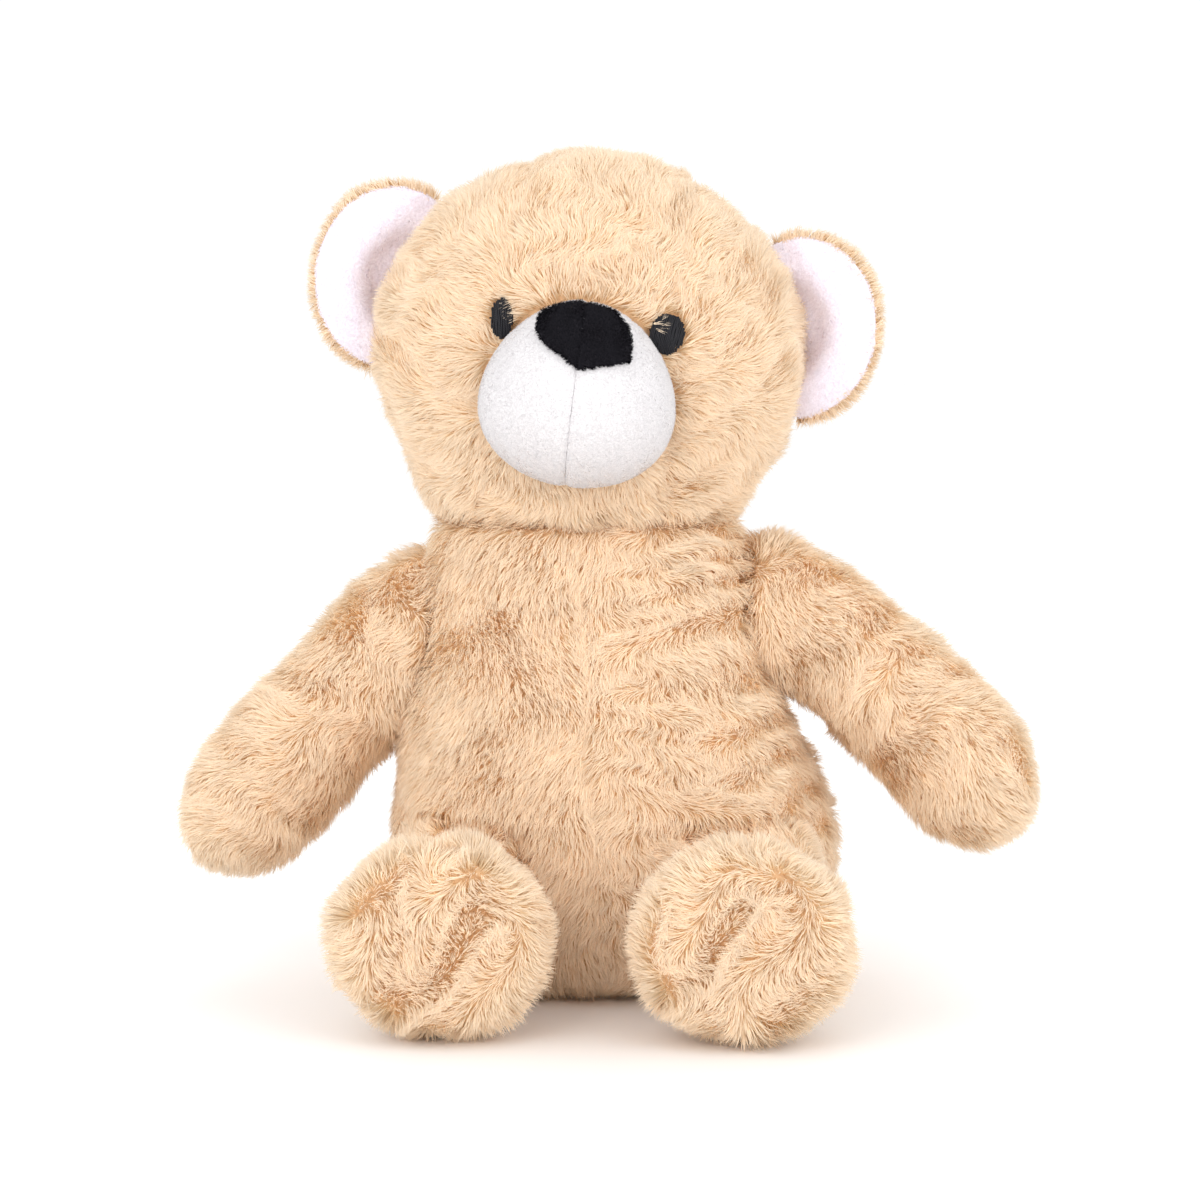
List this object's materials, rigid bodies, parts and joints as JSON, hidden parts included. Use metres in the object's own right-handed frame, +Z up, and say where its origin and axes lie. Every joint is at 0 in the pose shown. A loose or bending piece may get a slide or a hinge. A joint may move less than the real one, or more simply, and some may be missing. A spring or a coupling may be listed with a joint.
{
  "type": "jointed teddy bear",
  "caption": "Sitting plush teddy bear with disc-jointed head, arms and legs, velour muzzle, plush nose and cupped ears.",
  "frame": {"origin": "middle of the flat seat face under the torso", "axes": "+Z up, the bear faces -Y, its own left hand is +X"},
  "size_m": [0.28, 0.1765, 0.269],
  "materials": {
    "plush": "short dense tan pile",
    "muzzle_velour": "white short-pile velour",
    "ear_velour": "pale lilac short-pile velour",
    "nose_plush": "black short pile",
    "eye_thread": "black embroidery thread",
    "fibre": "white fibre stuffing",
    "joint_plastic": "natural matte plastic"
  },
  "bodies": {
    "torso": {"torso_front_left": "plush", "torso_front_right": "plush", "torso_back_left": "plush", "torso_back_right": "plush", "seat_panel": "plush", "torso_stuffing": "fibre", "neck_torso_disc": "joint_plastic", "shoulder_left_torso_disc": "joint_plastic", "shoulder_right_torso_disc": "joint_plastic", "hip_left_torso_disc": "joint_plastic", "hip_right_torso_disc": "joint_plastic"},
    "head": {"head_gusset": "plush", "head_side_left": "plush", "head_side_right": "plush", "head_stuffing": "fibre", "muzzle_left": "muzzle_velour", "muzzle_right": "muzzle_velour", "muzzle_stuffing": "fibre", "nose_left": "nose_plush", "nose_right": "nose_plush", "eye_left": "eye_thread", "eye_right": "eye_thread", "ear_back_left": "plush", "ear_lining_left": "ear_velour", "ear_back_right": "plush", "ear_lining_right": "ear_velour", "neck_stem_disc": "joint_plastic", "neck_lock_washer": "joint_plastic"},
    "arm_left": {"arm_left_front_panel": "plush", "arm_left_back_panel": "plush", "arm_left_stuffing": "fibre", "shoulder_left_stem_disc": "joint_plastic", "shoulder_left_lock_washer": "joint_plastic"},
    "arm_right": {"arm_right_front_panel": "plush", "arm_right_back_panel": "plush", "arm_right_stuffing": "fibre", "shoulder_right_stem_disc": "joint_plastic", "shoulder_right_lock_washer": "joint_plastic"},
    "leg_left": {"leg_left_inner_panel": "plush", "leg_left_outer_panel": "plush", "sole_left": "plush", "leg_left_stuffing": "fibre", "hip_left_stem_disc": "joint_plastic", "hip_left_lock_washer": "joint_plastic"},
    "leg_right": {"leg_right_inner_panel": "plush", "leg_right_outer_panel": "plush", "sole_right": "plush", "leg_right_stuffing": "fibre", "hip_right_stem_disc": "joint_plastic", "hip_right_lock_washer": "joint_plastic"}
  },
  "joints": [
    {"name": "neck_turn", "type": "hinge", "parent": "torso", "child": "head", "pos_m": [-0.0067, 0, 0.1517], "axis": [0, 0, 1], "continuous": true},
    {"name": "shoulder_left_swing", "type": "hinge", "parent": "torso", "child": "arm_left", "pos_m": [0.0439, 0.002, 0.1265], "axis": [-1, 0, 0], "continuous": true},
    {"name": "shoulder_right_swing", "type": "hinge", "parent": "torso", "child": "arm_right", "pos_m": [-0.05767, 0.002, 0.1215], "axis": [-1, 0, 0], "continuous": true},
    {"name": "hip_left_swing", "type": "hinge", "parent": "torso", "child": "leg_left", "pos_m": [0.02325, -0.03, 0.0285], "axis": [1, 0, 0], "range_deg": [0, 90]},
    {"name": "hip_right_swing", "type": "hinge", "parent": "torso", "child": "leg_right", "pos_m": [-0.02325, -0.03, 0.0285], "axis": [1, 0, 0], "range_deg": [0, 90]}
  ]
}
